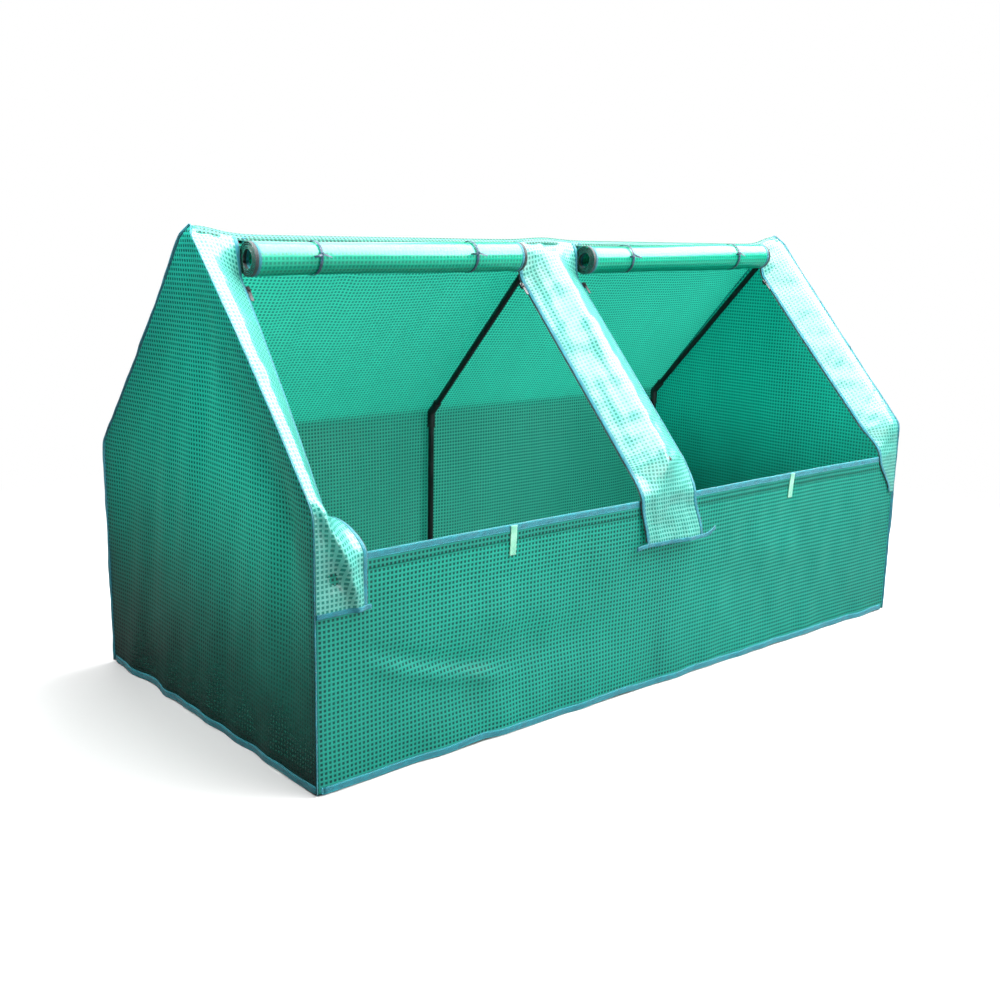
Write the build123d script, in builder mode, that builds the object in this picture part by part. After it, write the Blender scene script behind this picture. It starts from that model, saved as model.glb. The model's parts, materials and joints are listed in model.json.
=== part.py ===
"""Mini greenhouse: a plug-together steel tube frame under a sewn cover with two roll-up doors.

The origin is on the ground under the middle of the greenhouse. X runs along the ridge, -Y is the
door side and +Z is up. All sizes are in millimetres.
"""

import os
from math import atan2, cos, radians, sin, tan

from build123d import *

# Cover, over its outer faces
length = 1850
depth = 890
eave_height = 528
ridge_height = 1005
front_panel_height = 444
cloth = 0.8
layer_gap = 0.2
hem_height = 12
front_binding_height = 15

# Frame
tube_diameter = 16
tube_wall = 0.8
socket_wall = 2.2
socket_play = 0.1
socket_reach = 40
least_socket_floor = 11
tube_seat_gap = 0.5
rim_height = 1
rim_length = 4
rim_to_cover = 2.2
foot_thickness = 2
foot_overhang = 0.7

# Lapels: the strips of cover that lie over the front rafters and hang over the front panel
end_lapel_width = 98
middle_lapel_half_width = 95
lapel_droop = 45
left_lapel_eave_droop = 82
left_lapel_eave_width = 76
lapel_knee_gap = 2
lapel_fall_start = 105
lapel_bottom_height = 340
left_lapel_hem_width = 108
right_lapel_panel_width = 81
right_lapel_hem_width = 20
middle_lapel_panel_half_width = 90
middle_lapel_panel_shift = -6
middle_lapel_hem_half_width = 88
middle_lapel_hem_shift = 9
lapel_binding_height = 10
binding_tail = 40

# Zips
tape_width = 10
tape_thickness = 1
slider_length = 14
slider_width = 10
slider_plate = 1.6
slider_overhang = 2
slider_play = 0.4
slider_below_roll = 18
slider_eave_gap = 8.5
left_slider_eave_gap = 30
bridge_width = 3
bridge_thickness = 1
bridge_length = 9
bridge_clear_height = 2.8
pull_pin_diameter = 1.4
pull_pin_gap = 0.3
pull_side_gap = 0.6
pull_side_width = 1.4
pull_eye_length = 5
pull_length = 26

# Doors
ridge_strip_width = 26
roll_diameter = 68
roll_wall = 4
roll_strip_gap = 4
roll_end_gap = 5
eave_standoff = 3
tie_width = 8
tie_thickness = 1
tie_play = 0.6
tie_inset = 150
tie_tab_length = 12
tie_knot_size = 7
tie_tail_length = 24
tie_tail_lean = 35

# Closure tabs on the front panel
tab_width = 18
tab_length = 62
tab_thickness = 0.9
tab_below_top = 2

# Sizes that follow from those above
half_length = length / 2
half_depth = depth / 2
pitch = atan2(ridge_height - eave_height, half_depth)
tube_radius = tube_diameter / 2
bore_radius = tube_radius + socket_play
socket_radius = bore_radius + socket_wall
rim_radius = socket_radius + rim_height
frame_inset = rim_radius + rim_to_cover
front_layer = cloth + layer_gap
front_face_y = front_layer - half_depth
roll_radius = roll_diameter / 2
roll_from_ridge = ridge_strip_width + roll_strip_gap + roll_radius
socket_floor = max(least_socket_floor, bore_radius * tan(pitch))

post_y = half_depth - frame_inset
hoop_x = half_length - frame_inset
frame_eave_z = eave_height - frame_inset * (1 - sin(pitch)) / cos(pitch)
frame_apex_z = ridge_height - frame_inset / cos(pitch)
frame_base_z = socket_radius + foot_thickness

upward = Vector(0, 0, 1)
outward = Vector(0, -sin(pitch), cos(pitch))
downslope = Vector(0, -cos(pitch), -sin(pitch))
back_downslope = Vector(0, cos(pitch), -sin(pitch))
ridge = Vector(0, 0, ridge_height)

end_free_x = half_length - end_lapel_width
opening_outer_x = end_free_x - tape_width
opening_inner_x = middle_lapel_half_width + tape_width
roll_outer_x = opening_outer_x - slider_overhang - roll_end_gap
roll_inner_x = opening_inner_x + slider_overhang + roll_end_gap
slider_from_ridge = roll_from_ridge + roll_radius + slider_below_roll

sides = {"left": -1, "middle": 0, "right": 1}
door_sides = {"left": -1, "right": 1}
faces = {"front": -1, "back": 1}

os.makedirs("parts", exist_ok=True)


def on_slope(x, from_ridge, inward=0.0):
    """The point at a distance from the ridge down the front slope, and inward from its outer face."""
    return ridge + Vector(x, 0, 0) + downslope * from_ridge - outward * inward


def save(piece, name):
    """Labels a finished piece and writes it as the node of that name."""
    piece.label = name
    export_step(piece, f"parts/{name}.step")


# --- Frame: tubes -----------------------------------------------------------------------------


def base_point(side, face):
    """Centre of a base connector."""
    return Vector(side * hoop_x, face * post_y, frame_base_z)


def eave_point(side, face):
    """Centre of an eave connector."""
    return Vector(side * hoop_x, face * post_y, frame_eave_z)


def apex_point(side):
    """Centre of an apex connector."""
    return Vector(side * hoop_x, 0, frame_apex_z)


def make_tube(name, start, end):
    """A straight tube that stops inside the sockets of the connectors centred on start and end."""
    run = (end - start).normalized()
    seat = socket_floor + tube_seat_gap
    with BuildPart() as tube:
        with BuildSketch(Plane(origin=start + run * seat, z_dir=run)):
            Circle(tube_radius)
            Circle(tube_radius - tube_wall, mode=Mode.SUBTRACT)
        extrude(amount=(end - start).length - 2 * seat)
    save(tube.part, name)


for side_name, side in sides.items():
    for face_name, face in faces.items():
        make_tube(f"{face_name}_post_{side_name}", base_point(side, face), eave_point(side, face))
        make_tube(f"{face_name}_rafter_{side_name}", eave_point(side, face), apex_point(side))

for side_name, side in door_sides.items():
    make_tube(f"ridge_tube_{side_name}", apex_point(0), apex_point(side))
    make_tube(f"base_front_tube_{side_name}", base_point(0, -1), base_point(side, -1))
    make_tube(f"base_back_tube_{side_name}", base_point(0, 1), base_point(side, 1))
    make_tube(f"base_end_tube_{side_name}", base_point(side, -1), base_point(side, 1))


# --- Frame: moulded connectors ----------------------------------------------------------------


def make_connector(centre, directions, has_foot=False):
    """A ball with a rimmed tube socket along each direction, on a round foot if it meets the ground."""
    with BuildPart() as connector:
        with Locations(centre):
            Sphere(socket_radius)
        for direction in directions:
            with BuildSketch(Plane(origin=centre, z_dir=direction)):
                Circle(socket_radius)
            extrude(amount=socket_reach)
            rim_start = centre + direction * (socket_reach - rim_length)
            with BuildSketch(Plane(origin=rim_start, z_dir=direction)):
                Circle(rim_radius)
            extrude(amount=rim_length)
        if has_foot:
            with BuildSketch(Plane(origin=(centre.X, centre.Y, 0))):
                Circle(socket_radius + foot_overhang)
            extrude(amount=foot_thickness + socket_wall)
        for direction in directions:
            with BuildSketch(Plane(origin=centre + direction * socket_floor, z_dir=direction)):
                Circle(bore_radius)
            extrude(amount=socket_reach, mode=Mode.SUBTRACT)
    return connector.part


def inward_along_x(side):
    """Directions of the tubes that run along the greenhouse from a hoop."""
    return [Vector(-side, 0, 0)] if side else [Vector(-1, 0, 0), Vector(1, 0, 0)]


for side_name, side in sides.items():
    apex_directions = [downslope, back_downslope] + inward_along_x(side)
    save(make_connector(apex_point(side), apex_directions), f"apex_connector_{side_name}")
    eave_directions = [-upward, -back_downslope]
    save(make_connector(eave_point(side, 1), eave_directions), f"back_eave_connector_{side_name}")

front_eave_connectors = [
    make_connector(eave_point(side, -1), [-upward, -downslope]) for side in sides.values()
]
save(Compound(children=front_eave_connectors), "front_eave_connectors")

base_corner_connectors = [
    make_connector(base_point(side, face), [upward, Vector(-side, 0, 0), Vector(0, -face, 0)], True)
    for side in door_sides.values()
    for face in faces.values()
]
save(Compound(children=base_corner_connectors), "base_corner_connectors")

base_tee_connectors = [
    make_connector(base_point(0, face), [upward, Vector(-1, 0, 0), Vector(1, 0, 0)], True)
    for face in faces.values()
]
save(Compound(children=base_tee_connectors), "base_tee_connectors")


# --- Cover: flat panels -----------------------------------------------------------------------

end_section = Plane(origin=(cloth - half_length, 0, 0), x_dir=(0, 1, 0), z_dir=(1, 0, 0))


def make_end_panel(name, side):
    """A house-shaped end of the cover, above its hem."""
    outer_face = Plane(origin=(side * half_length, 0, 0), x_dir=(0, 1, 0), z_dir=(1, 0, 0))
    with BuildPart() as panel:
        with BuildSketch(outer_face):
            Polygon(
                (-half_depth, hem_height),
                (half_depth, hem_height),
                (half_depth, eave_height),
                (0, ridge_height),
                (-half_depth, eave_height),
                align=None,
            )
        extrude(amount=-side * cloth)
    save(panel.part, name)


def make_long_panel(name, *outline):
    """A panel between the two end panels, given as its outline in Y and Z."""
    with BuildPart() as panel:
        with BuildSketch(end_section):
            Polygon(*outline, align=None)
        extrude(amount=length - 2 * cloth)
    save(panel.part, name)


for side_name, side in door_sides.items():
    make_end_panel(f"{side_name}_end_panel", side)

inner_eave = (half_depth - cloth, eave_height - cloth * (1 - sin(pitch)) / cos(pitch))
inner_apex = (0, ridge_height - cloth / cos(pitch))
strip_outer = on_slope(0, ridge_strip_width)
strip_inner = on_slope(0, ridge_strip_width, cloth)
binding_bottom = front_panel_height - front_binding_height

make_long_panel(
    "back_roof_panel",
    (0, ridge_height),
    (half_depth, eave_height),
    inner_eave,
    inner_apex,
)
make_long_panel(
    "back_wall_panel",
    (half_depth, eave_height),
    (half_depth, hem_height),
    (half_depth - cloth, hem_height),
    inner_eave,
)
make_long_panel(
    "ridge_strip",
    (0, ridge_height),
    inner_apex,
    (strip_inner.Y, strip_inner.Z),
    (strip_outer.Y, strip_outer.Z),
)
make_long_panel(
    "front_panel",
    (front_face_y, hem_height),
    (front_face_y + cloth, hem_height),
    (front_face_y + cloth, binding_bottom),
    (front_face_y, binding_bottom),
)
make_long_panel(
    "front_panel_binding",
    (front_face_y, binding_bottom),
    (front_face_y + cloth, binding_bottom),
    (front_face_y + cloth, front_panel_height),
    (front_face_y, front_panel_height),
)

with BuildPart() as cover_hem:
    hem_centre = Vector(0, front_layer / 2, 0)
    with BuildSketch(Plane(origin=hem_centre)):
        Rectangle(length, depth - front_layer)
        Rectangle(length - 2 * cloth, depth - front_layer - 2 * cloth, mode=Mode.SUBTRACT)
    extrude(amount=hem_height)
save(cover_hem.part, "cover_hem")


# --- Cover: lapels, with the zip tapes on their edges -----------------------------------------

half_eave_bend = radians(downslope.get_angle(-upward) / 2)
eave_bisector = (downslope - upward).normalized()

strip_planes = [
    Plane(origin=on_slope(0, ridge_strip_width), x_dir=(1, 0, 0), z_dir=downslope),
    Plane(origin=on_slope(0, lapel_fall_start), x_dir=(1, 0, 0), z_dir=downslope),
    Plane(origin=(0, -half_depth, eave_height), x_dir=(1, 0, 0), z_dir=eave_bisector),
    Plane(origin=(0, -half_depth, front_panel_height), x_dir=(1, 0, 0), z_dir=-upward),
    Plane(origin=(0, -half_depth, lapel_bottom_height), x_dir=(1, 0, 0), z_dir=-upward),
]
mitre_scale = 1 / cos(half_eave_bend)
depth_scales = [1, 1, mitre_scale, 1, 1]
edge_droops = [0, lapel_droop, lapel_droop, 0, 0]
left_edge_droops = [0, lapel_droop, left_lapel_eave_droop, 0, 0]
whole_strip = slice(None)
down_to_eave = slice(0, 3)
down_from_eave = slice(2, None)


def make_strip(thickness, edge_lists, droops=edge_droops, run=whole_strip):
    """A strip down the slope and the front panel, lofted one band between neighbouring points at a time.

    Each edge list holds the strip's points across one of strip_planes, as x and the share of that
    plane's droop that the point hangs below the cover's outer face. The strip takes in the planes of
    its run.
    """
    stations = list(zip(strip_planes, depth_scales, droops, edge_lists))[run]
    with BuildPart() as strip:
        for band in range(len(edge_lists[0]) - 1):
            for plane, scale, droop, edges in stations:
                (start_x, start_share), (end_x, end_share) = edges[band : band + 2]
                start_depth = -start_share * droop * scale
                end_depth = -end_share * droop * scale
                skin = thickness * scale
                with BuildSketch(plane):
                    Polygon(
                        (start_x, start_depth),
                        (end_x, end_depth),
                        (end_x, end_depth - skin),
                        (start_x, start_depth - skin),
                        align=None,
                    )
            loft(ruled=True)
    return strip.part


def end_lapel_edges(side, free_widths):
    """From the end panel to the free edge, with a knee beside the rafter's sockets."""
    outer_x = half_length - cloth
    knee_x = hoop_x - rim_radius - lapel_knee_gap
    edge_lists = []
    for free_width in free_widths:
        free_x = half_length - free_width
        edges = [(outer_x, 0), (max(knee_x, (outer_x + free_x) / 2), 0), (free_x, 1)]
        edge_lists.append([(side * x, share) for x, share in edges])
    return edge_lists


left_widths = [end_lapel_width] * 2 + [left_lapel_eave_width] + [left_lapel_hem_width] * 2
right_widths = [end_lapel_width] * 3 + [right_lapel_panel_width, right_lapel_hem_width]
save(make_strip(cloth, end_lapel_edges(1, right_widths)), "right_lapel")

# The left lapel turns back toward the door side at the eave, so it is made in two parts that meet there
left_edges = end_lapel_edges(-1, left_widths)
save(make_strip(cloth, left_edges, left_edge_droops, down_to_eave), "left_lapel")
save(make_strip(cloth, left_edges, left_edge_droops, down_from_eave), "left_lapel_flap")

middle_centres = [0, 0, 0, middle_lapel_panel_shift, middle_lapel_hem_shift]
middle_half_widths = [middle_lapel_half_width] * 3
middle_half_widths += [middle_lapel_panel_half_width, middle_lapel_hem_half_width]
middle_knee = rim_radius + lapel_knee_gap
middle_edges = [
    [(centre - half, 1), (-middle_knee, 0), (middle_knee, 0), (centre + half, 1)]
    for centre, half in zip(middle_centres, middle_half_widths)
]
save(make_strip(cloth, middle_edges), "middle_lapel")


def make_tape(free_xs, toward, droops=edge_droops, run=whole_strip):
    """One half of a zip, on a lapel's free edge and reaching toward the door."""
    edge_lists = [[(x, 1), (x + toward * tape_width, 1)] for x in free_xs]
    return make_strip(tape_thickness, edge_lists, droops, run)


left_free_xs = [width - half_length for width in left_widths]
right_free_xs = [half_length - width for width in right_widths]
middle_left_xs = [edges[0][0] for edges in middle_edges]
middle_right_xs = [edges[-1][0] for edges in middle_edges]
left_upper_tape = make_tape(left_free_xs, 1, left_edge_droops, down_to_eave)
left_tapes = [left_upper_tape, make_tape(middle_left_xs, -1)]
right_tapes = [make_tape(middle_right_xs, 1), make_tape(right_free_xs, -1)]
save(make_tape(left_free_xs, 1, left_edge_droops, down_from_eave), "left_lapel_flap_tape")
save(Compound(children=left_tapes), "left_door_zip_tapes")
save(Compound(children=right_tapes), "right_door_zip_tapes")


def make_lapel_binding(start_x, end_x):
    """A sewn band along the lower end of a lapel."""
    with BuildPart() as binding:
        with BuildSketch(strip_planes[-1]):
            Polygon((start_x, 0), (end_x, 0), (end_x, -cloth), (start_x, -cloth), align=None)
        extrude(amount=lapel_binding_height)
    return binding.part


lapel_bindings = [
    make_lapel_binding(cloth - half_length, left_free_xs[-1]),
    make_lapel_binding(middle_left_xs[-1] - binding_tail, middle_right_xs[-1] + binding_tail),
]
save(Compound(children=lapel_bindings), "lapel_bindings")


# --- Zip sliders and their pulls --------------------------------------------------------------

plate_gap = tape_thickness + 2 * slider_play
slider_height = plate_gap + 2 * slider_plate
plate_top = slider_height / 2
bridge_top = plate_top + bridge_clear_height + bridge_thickness
pin_height = plate_top + pull_pin_gap + pull_pin_diameter / 2
pin_y = bridge_thickness - bridge_length / 2 + pull_pin_gap + pull_pin_diameter / 2
pull_half_width = bridge_width / 2 + pull_side_gap + pull_side_width


def tape_edge(free_xs, toward, droops):
    """The two ends of a tape's straight edge beside the door, from its full droop to the eave."""
    fall_x, eave_x = (x + toward * tape_width for x in free_xs[1:3])
    start = strip_planes[1].from_local_coords(Vector(fall_x, -droops[1], 0))
    end = strip_planes[2].from_local_coords(Vector(eave_x, -droops[2] * mitre_scale, 0))
    return start, end


def slider_track(edge, toward):
    """The slider's plane at rest: Y up the tape's edge, Z out of the tape, at the slider's middle."""
    start, end = edge
    run = (end - start).normalized()
    out_of_tape = run.cross(Vector(1, 0, 0)).normalized()
    over_tape = out_of_tape.cross(run)
    from_start = (slider_from_ridge - lapel_fall_start) / run.dot(downslope)
    centre = start + run * from_start - out_of_tape * tape_thickness / 2
    centre += over_tape * toward * (slider_overhang - slider_width / 2)
    return Plane(origin=centre, x_dir=over_tape, z_dir=out_of_tape)


def make_slider(name, track, toward):
    """A slider that grips the tape's edge, with an arched bridge on top for its pull."""
    across = Plane(origin=track.origin, x_dir=track.y_dir, z_dir=track.x_dir)
    slot_width = slider_width - slider_overhang + slider_play
    slot_x = toward * (slot_width - slider_width) / 2
    with BuildPart() as slider:
        with BuildSketch(track.offset(-plate_top)):
            RectangleRounded(slider_width, slider_length, slider_width / 4)
        extrude(amount=slider_height)
        with BuildSketch(track.offset(-plate_gap / 2)):
            with Locations((slot_x, 0)):
                Rectangle(slot_width, slider_length)
        extrude(amount=plate_gap, mode=Mode.SUBTRACT)
        with BuildSketch(across.offset(-bridge_width / 2)):
            with BuildLine():
                Polyline(
                    (-bridge_length / 2, plate_top),
                    (-bridge_length / 2, bridge_top - bridge_thickness),
                    (-bridge_length / 2 + bridge_thickness, bridge_top),
                    (bridge_length / 2 - bridge_thickness, bridge_top),
                    (bridge_length / 2, bridge_top - bridge_thickness),
                    (bridge_length / 2, plate_top),
                    close=True,
                )
            make_face()
            with Locations((0, plate_top + bridge_clear_height / 2)):
                Rectangle(bridge_length - 2 * bridge_thickness, bridge_clear_height, mode=Mode.SUBTRACT)
        extrude(amount=bridge_width)
    save(slider.part, name)


def make_pull(name, track):
    """A flat tab with an open eye, whose pin lies under the slider's bridge."""
    eye_end = pin_y - pull_eye_length
    tab_end = pin_y - pull_length
    eye_width = 2 * (pull_half_width - pull_side_width)
    with BuildPart() as pull:
        with BuildSketch(track.offset(pin_height - pull_pin_diameter / 2)):
            with Locations((0, (pin_y + tab_end) / 2)):
                RectangleRounded(2 * pull_half_width, pull_length, pull_half_width / 2)
            with Locations((0, (pin_y + eye_end) / 2)):
                Rectangle(eye_width, pull_eye_length, mode=Mode.SUBTRACT)
        extrude(amount=pull_pin_diameter)
        pin_end = track.from_local_coords(Vector(-pull_half_width, pin_y, pin_height))
        with BuildSketch(Plane(origin=pin_end, z_dir=track.x_dir)):
            Circle(pull_pin_diameter / 2)
        extrude(amount=2 * pull_half_width)
    save(pull.part, name)


zips = {
    "left_outer": (left_free_xs, 1, left_edge_droops, left_slider_eave_gap),
    "left_inner": (middle_left_xs, -1, edge_droops, slider_eave_gap),
    "right_inner": (middle_right_xs, 1, edge_droops, slider_eave_gap),
    "right_outer": (right_free_xs, -1, edge_droops, slider_eave_gap),
}
for zip_name, (free_xs, toward, droops, eave_gap) in zips.items():
    edge = tape_edge(free_xs, toward, droops)
    track = slider_track(edge, toward)
    make_slider(f"{zip_name}_zip_slider", track, toward)
    make_pull(f"{zip_name}_zip_pull", track)
    travel = (edge[1] - track.origin).dot(-track.y_dir) - eave_gap
    pin = track.from_local_coords(Vector(0, pin_y, pin_height))
    print(f"{zip_name} zip travel {travel:.2f} mm along {-track.y_dir}, pull pin {pin} across {track.x_dir}")


# --- Doors: rolled sheets and the ties that hold them up --------------------------------------

roll_centre = on_slope(0, roll_from_ridge)
tie_inner_radius = roll_radius + tie_play
tie_outer_radius = tie_inner_radius + tie_thickness


def make_tie(centre_x):
    """A tape loop round the roll, sewn under the ridge strip, with a knot and two tails in front."""
    loop_plane = Plane(origin=roll_centre + Vector(centre_x, 0, 0), x_dir=(0, 1, 0), z_dir=(1, 0, 0))
    tab_plane = Plane(origin=on_slope(centre_x, 0, cloth), x_dir=(1, 0, 0), z_dir=-outward)
    tab_end = roll_from_ridge - tie_inner_radius
    tab_start = ridge_strip_width - tie_tab_length
    with BuildPart() as tie:
        with BuildSketch(loop_plane.offset(-tie_width / 2)):
            Circle(tie_outer_radius)
            Circle(tie_inner_radius, mode=Mode.SUBTRACT)
        extrude(amount=tie_width)
        with BuildSketch(tab_plane):
            with Locations((0, tab_plane.y_dir.dot(downslope) * (tab_start + tab_end) / 2)):
                Rectangle(tie_width, tab_end - tab_start)
        extrude(amount=tie_thickness)
        with BuildSketch(loop_plane.offset(-tie_knot_size / 2)):
            with Locations((-tie_inner_radius - tie_knot_size / 2, 0)):
                RectangleRounded(tie_knot_size, tie_knot_size, tie_knot_size / 3)
        extrude(amount=tie_knot_size)
        knot_plane = Plane(
            origin=loop_plane.origin + Vector(0, -tie_inner_radius - tie_thickness, 0),
            x_dir=(1, 0, 0),
            z_dir=(0, -1, 0),
        )
        with BuildSketch(knot_plane):
            for lean in (-tie_tail_lean, tie_tail_lean):
                with Locations(Rotation(0, 0, lean)):
                    with Locations((0, -tie_tail_length / 2)):
                        Rectangle(tie_width / 2, tie_tail_length)
        extrude(amount=tie_thickness)
    return tie.part


for side_name, side in door_sides.items():
    with BuildPart() as door_roll:
        with BuildSketch(Plane(origin=roll_centre + Vector(side * roll_inner_x, 0, 0), z_dir=(side, 0, 0))):
            Circle(roll_radius)
            Circle(roll_radius - roll_wall, mode=Mode.SUBTRACT)
        extrude(amount=roll_outer_x - roll_inner_x)
    save(door_roll.part, f"{side_name}_door_roll")
    door_ties = [make_tie(side * x) for x in (roll_inner_x + tie_inset, roll_outer_x - tie_inset)]
    save(Compound(children=door_ties), f"{side_name}_door_ties")


# --- Closure tabs -----------------------------------------------------------------------------

tab_x = (roll_inner_x + roll_outer_x) / 2
tab_middle_z = front_panel_height - tab_below_top - tab_length / 2
tab_plane = Plane(origin=(0, front_face_y, tab_middle_z), x_dir=(1, 0, 0), z_dir=(0, -1, 0))
with BuildPart() as closure_tabs:
    with BuildSketch(tab_plane):
        with Locations((-tab_x, 0), (tab_x, 0)):
            Rectangle(tab_width, tab_length)
    extrude(amount=tab_thickness)
save(closure_tabs.part, "closure_tabs")

# Travel of the rolls down the slope to the eave, for their joints
unroll_travel = (half_depth + eave_standoff) / cos(pitch) - roll_from_ridge
print(f"pitch {pitch:.5f} rad, roll centre {roll_centre}")
print(f"unroll travel {unroll_travel:.2f} mm along {downslope}")
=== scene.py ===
import json
import math

import bpy
import numpy as np
from mathutils import Matrix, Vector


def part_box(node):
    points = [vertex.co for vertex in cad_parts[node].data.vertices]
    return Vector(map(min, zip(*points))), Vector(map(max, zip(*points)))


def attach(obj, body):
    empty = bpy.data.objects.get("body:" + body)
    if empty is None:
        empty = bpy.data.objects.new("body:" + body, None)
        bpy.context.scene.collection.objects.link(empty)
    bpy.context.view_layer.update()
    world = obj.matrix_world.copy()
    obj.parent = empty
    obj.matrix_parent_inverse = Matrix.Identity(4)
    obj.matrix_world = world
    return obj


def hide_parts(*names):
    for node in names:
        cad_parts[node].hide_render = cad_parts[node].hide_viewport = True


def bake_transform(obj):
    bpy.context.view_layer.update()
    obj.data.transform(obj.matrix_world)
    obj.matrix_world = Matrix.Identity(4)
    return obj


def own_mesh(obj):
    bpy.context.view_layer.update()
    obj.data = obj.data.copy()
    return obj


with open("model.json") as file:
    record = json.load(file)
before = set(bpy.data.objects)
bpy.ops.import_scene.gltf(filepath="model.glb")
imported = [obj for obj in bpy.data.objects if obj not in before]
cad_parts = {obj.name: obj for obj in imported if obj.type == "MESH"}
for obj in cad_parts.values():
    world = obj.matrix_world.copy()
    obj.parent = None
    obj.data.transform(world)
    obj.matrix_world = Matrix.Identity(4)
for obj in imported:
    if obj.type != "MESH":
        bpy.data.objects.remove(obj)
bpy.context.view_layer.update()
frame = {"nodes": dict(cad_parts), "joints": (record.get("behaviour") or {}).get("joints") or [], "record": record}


# --- Sizes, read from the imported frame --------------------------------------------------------


def corners_of(node):
    """The lowest and highest corner of a node, as arrays in metres."""
    low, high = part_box(node)
    return np.array(low), np.array(high)


HALF_LENGTH, HALF_DEPTH, HEM_TOP = corners_of("cover_hem")[1]
EAVE = corners_of("back_wall_panel")[1][2]
RIDGE = corners_of("ridge_strip")[1][2]
PANEL_FACE = corners_of("front_panel")[0][1]
PANEL_TOP = corners_of("front_panel_binding")[1][2]
LAPEL_LOW = corners_of("middle_lapel")[0][2]
STRIP_EDGE = math.hypot(*(corners_of("ridge_strip")[0][1:] - np.array([0, RIDGE])))
ROLL_LOW, ROLL_HIGH = corners_of("left_door_roll")
ROLL_CENTRE = (ROLL_LOW + ROLL_HIGH) / 2
ROLL_RADIUS = (ROLL_HIGH[1] - ROLL_LOW[1]) / 2
# Each roll's ends along the ridge, how far those ends hang above or below its CAD axis, and how far
# its ties are from them
ROLL_ENDS = {"left": (-0.820, -0.113), "right": (0.102, 0.801)}
ROLL_DIPS = {"left": (-0.009, -0.001), "right": (-0.008, 0.004)}
TIE_INSETS = {"left": 0.15, "right": 0.14}

PITCH = math.atan2(RIDGE - EAVE, HALF_DEPTH)
SLOPE = math.hypot(RIDGE - EAVE, HALF_DEPTH)
RIGHTWARD = np.array([1.0, 0.0, 0.0])
FORWARD = np.array([0.0, -1.0, 0.0])
UPWARD = np.array([0.0, 0.0, 1.0])
OUTWARD = np.array([0, -math.sin(PITCH), math.cos(PITCH)])
DOWN = np.array([0, -math.cos(PITCH), -math.sin(PITCH)])
TRAVEL = next(j for j in frame["joints"] if j["name"] == "left_door_unroll")["range_m"][1]

# Places along the cover's section, from the front hem over the ridge to the back hem
FRONT_EAVE_S = EAVE
RIDGE_S = EAVE + SLOPE
BACK_EAVE_S = EAVE + 2 * SLOPE
BACK_HEM_S = 2 * EAVE + 2 * SLOPE
# How softly the section turns there
EAVE_TURN = 0.006
RIDGE_TURN = 0.005

# Cloth: the pitch of its thread grid, its thickness, and how far the lapels' free edges hang
GRID = 0.0093
CLOTH = 0.0005
SHEET_FOOT = 0.005
DROOP = 0.045
LEFT_EAVE_DROOP = 0.082

# Lapels: widths of the end ones, and of the middle one from its centre to a free edge
END_LAPEL = 0.098
LEFT_AT_EAVE, LEFT_AT_PANEL, LEFT_AT_HEM = 0.076, 0.108, 0.108
RIGHT_AT_EAVE, RIGHT_AT_PANEL, RIGHT_AT_HEM = 0.098, 0.081, 0.022
MIDDLE_HALF = 0.095
KNEE = 0.2
UNDER_STRIP = 0.012

# Sewn bands: half width and half thickness of each
WIDE_BAND = (0.0075, 0.0014)
EDGE_BAND = (0.0042, 0.0011)
LOWER_BAND = (0.0048, 0.0013)
ZIP_BAND = (0.0045, 0.0005)
LEAD_BAND = (0.004, 0.0008)
TAB_BAND = (0.0085, 0.0008)
TIE_LOOP, TIE_KNOT, TIE_TAIL = (0.0034, 0.0006), (0.0024, 0.0006), (0.0026, 0.0004)


# --- Shape helpers ----------------------------------------------------------------------------


def smooth(t):
    """0 below 0, 1 above 1, and 3t² - 2t³ between."""
    t = np.clip(t, 0, 1)
    return t * t * (3 - 2 * t)


def bell(t):
    """exp(-t²): 1 at 0 and fading to both sides."""
    return np.exp(-np.square(t))


def waves(across, along, seed, shortest, longest, slant=0.15, count=7):
    """Sum of sine waves across the cloth, each with its own length, slant and phase, of size about 1."""
    random = np.random.default_rng(seed)
    lengths = np.geomspace(shortest, longest, count)
    phases = random.uniform(0, 2 * math.pi, count)
    slants = random.uniform(-slant, slant, count)
    weights = np.sqrt(lengths / longest)
    total = 0
    for length, phase, lean, weight in zip(lengths, phases, slants, weights):
        bend = 0.3 * np.sin(along / longest * 2 + phase)
        total = total + weight * np.sin(2 * math.pi * (across + lean * along) / length + phase + bend)
    return total / math.sqrt(count / 2)


def unit(v):
    """Vectors at length 1."""
    return v / np.maximum(np.linalg.norm(v, axis=-1, keepdims=True), 1e-12)


def add_piece(name, body, points, faces, uvs, material):
    """A mesh object from arrays of points, four-cornered faces and one UV pair for each face corner."""
    mesh = bpy.data.meshes.new(name)
    mesh.from_pydata(points.reshape(-1, 3).tolist(), [], faces.tolist())
    layer = mesh.uv_layers.new(name="UVMap")
    layer.data.foreach_set("uv", np.ascontiguousarray(uvs, np.float32).ravel())
    mesh.polygons.foreach_set("use_smooth", np.ones(len(faces), bool))
    mesh.materials.append(material)
    mesh.update()
    piece = bpy.data.objects.new(name, mesh)
    bpy.context.scene.collection.objects.link(piece)
    if body:
        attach(piece, body)
    return piece


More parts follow.
